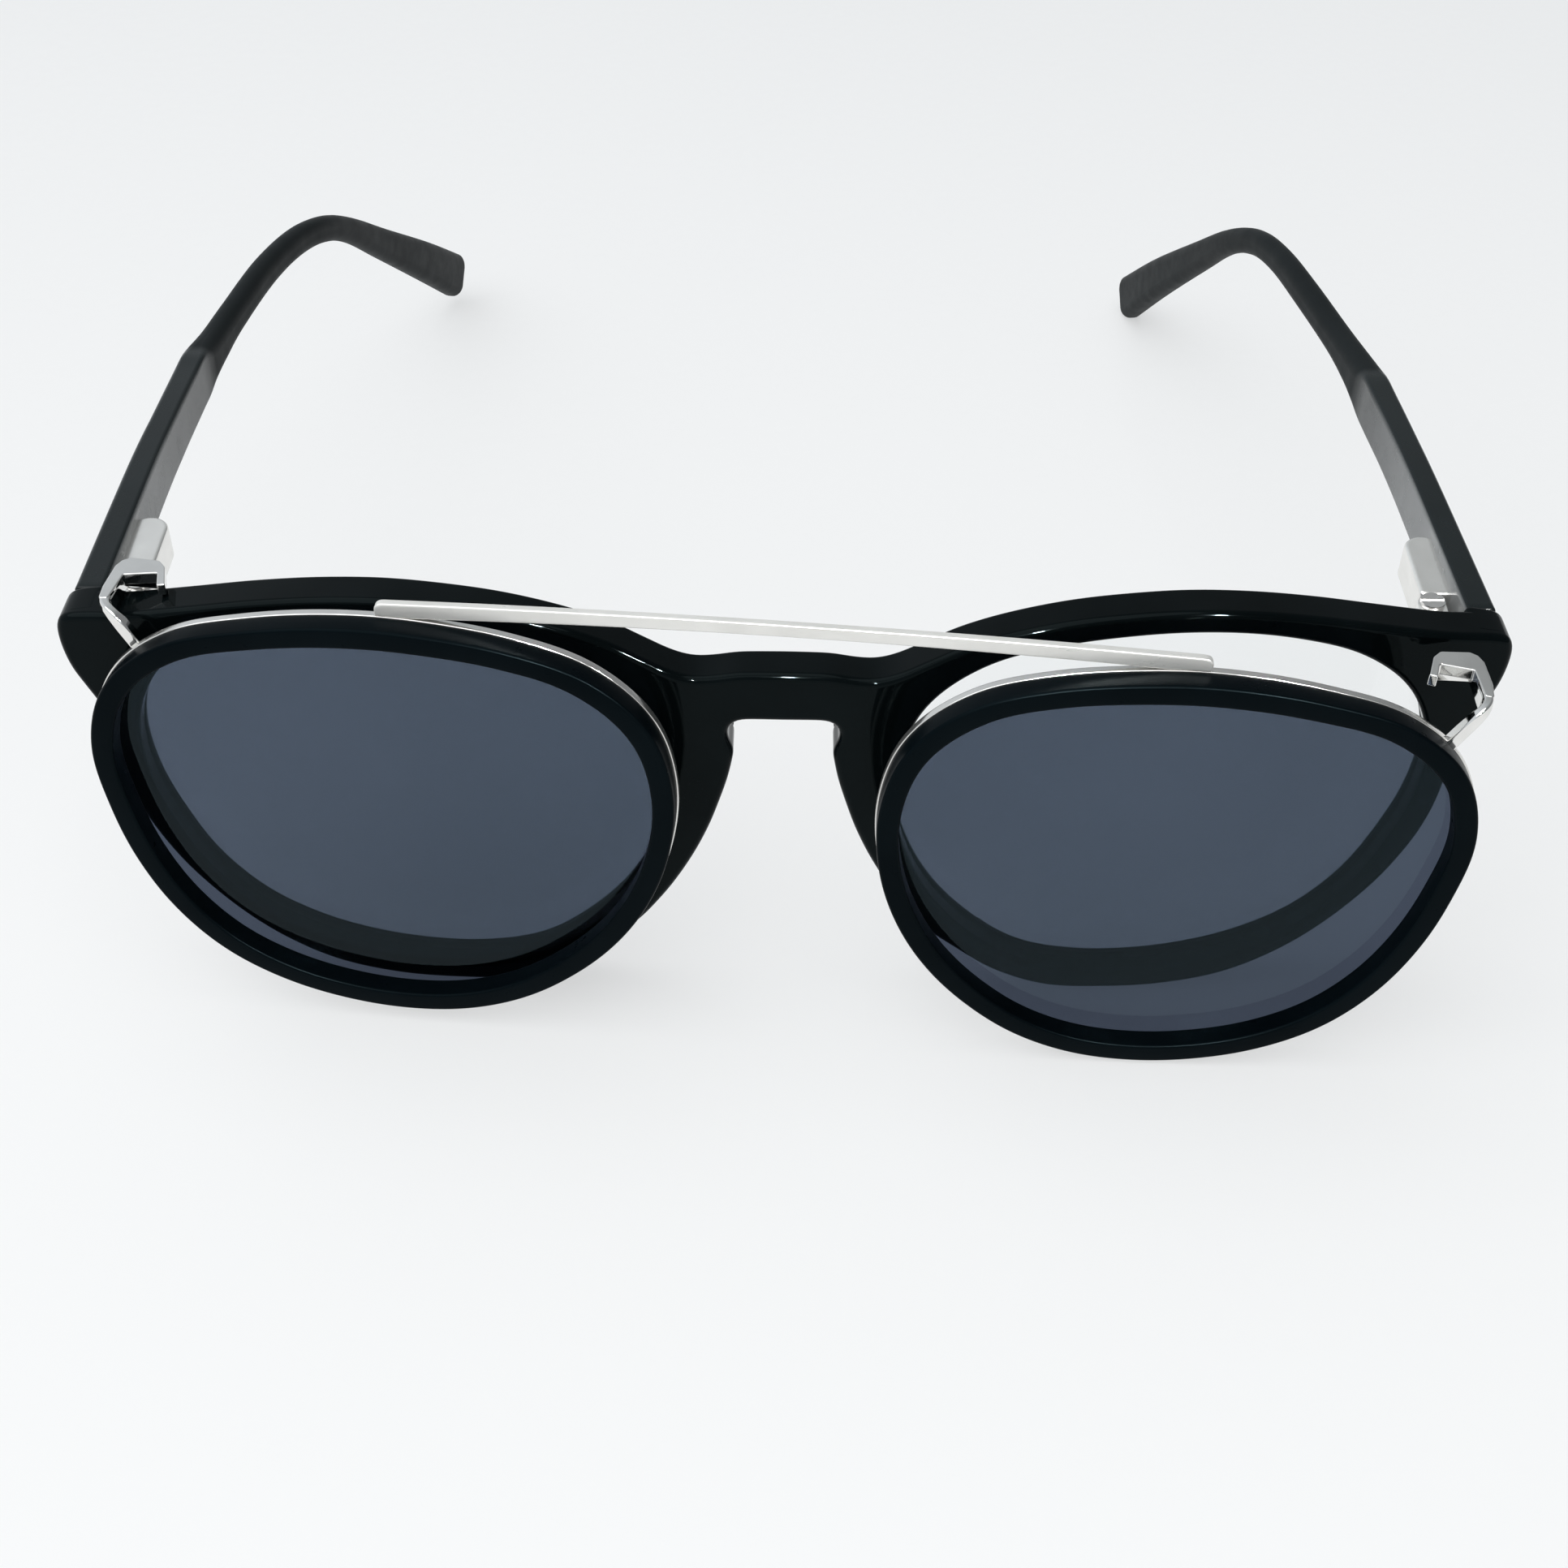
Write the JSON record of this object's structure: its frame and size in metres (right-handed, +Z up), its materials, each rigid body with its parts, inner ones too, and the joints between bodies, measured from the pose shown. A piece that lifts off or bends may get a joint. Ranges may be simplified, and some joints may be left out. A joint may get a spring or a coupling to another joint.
{
  "type": "spectacles with clip on flip lenses",
  "caption": "Black acetate keyhole spectacles with spring-hinged temples, and a tinted clip-on pair on a metal brow bar that hooks over the end-pieces and flips up.",
  "frame": {"origin": "on the table, under the middle of the whole object with its temples open", "axes": "+Z up, +X to the wearer's left along the front, +Y from the lenses back towards the ears"},
  "size_m": [0.1336, 0.1464, 0.0493],
  "materials": {
    "front_acetate": "polished black acetate",
    "temple_acetate": "polished dark grey-green acetate",
    "clear_lens": "clear plano lens",
    "hinge_metal": "satin nickel silver",
    "screw_steel": "bright steel",
    "spring_steel": "drawn wire",
    "clip_black": "gloss black",
    "clip_metal": "polished nickel plate",
    "tinted_lens": "slate grey tinted polarised lens"
  },
  "bodies": {
    "front": {"front_frame": "front_acetate", "clear_lens_right": "clear_lens", "clear_lens_left": "clear_lens", "nose_pad_right": "front_acetate", "nose_pad_left": "front_acetate", "front_leaf_right": "hinge_metal", "front_leaf_left": "hinge_metal", "hinge_screw_right": "screw_steel", "hinge_screw_left": "screw_steel"},
    "carriage_right": {"spring_carriage_right": "hinge_metal"},
    "carriage_left": {"spring_carriage_left": "hinge_metal"},
    "temple_right": {"temple_right": "temple_acetate", "core_wire_right": "spring_steel", "spring_box_right": "hinge_metal", "hinge_spring_right": "spring_steel"},
    "temple_left": {"temple_left": "temple_acetate", "core_wire_left": "spring_steel", "spring_box_left": "hinge_metal", "hinge_spring_left": "spring_steel"},
    "clip": {"clip_ring_right": "clip_black", "clip_ring_left": "clip_black", "clip_rim_right": "clip_metal", "clip_rim_left": "clip_metal", "clip_lens_right": "tinted_lens", "clip_lens_left": "tinted_lens", "clip_brow_bar": "clip_metal", "clip_hook_right": "clip_metal", "clip_hook_left": "clip_metal"}
  },
  "joints": [
    {"name": "temple_fold_right", "type": "hinge", "parent": "front", "child": "carriage_right", "pos_m": [-0.0606, -0.05125, 0.039], "axis": [0, 0, -1], "range_deg": [0, 84]},
    {"name": "temple_fold_left", "type": "hinge", "parent": "front", "child": "carriage_left", "pos_m": [0.0606, -0.05125, 0.039], "axis": [0, 0, 1], "range_deg": [0, 76]},
    {"name": "spring_travel_right", "type": "slide", "parent": "carriage_right", "child": "temple_right", "axis": [0, 1, 0], "range_m": [0, 0.0012], "stiffness_N_per_m": 250, "springref_m": -0.004},
    {"name": "spring_travel_left", "type": "slide", "parent": "carriage_left", "child": "temple_left", "axis": [0, 1, 0], "range_m": [0, 0.0012], "stiffness_N_per_m": 250, "springref_m": -0.004},
    {"name": "clip_flip", "type": "hinge", "parent": "front", "child": "clip", "pos_m": [-0.0596, -0.0545, 0.0433], "axis": [-1, 0, 0], "range_deg": [0, 90]}
  ]
}
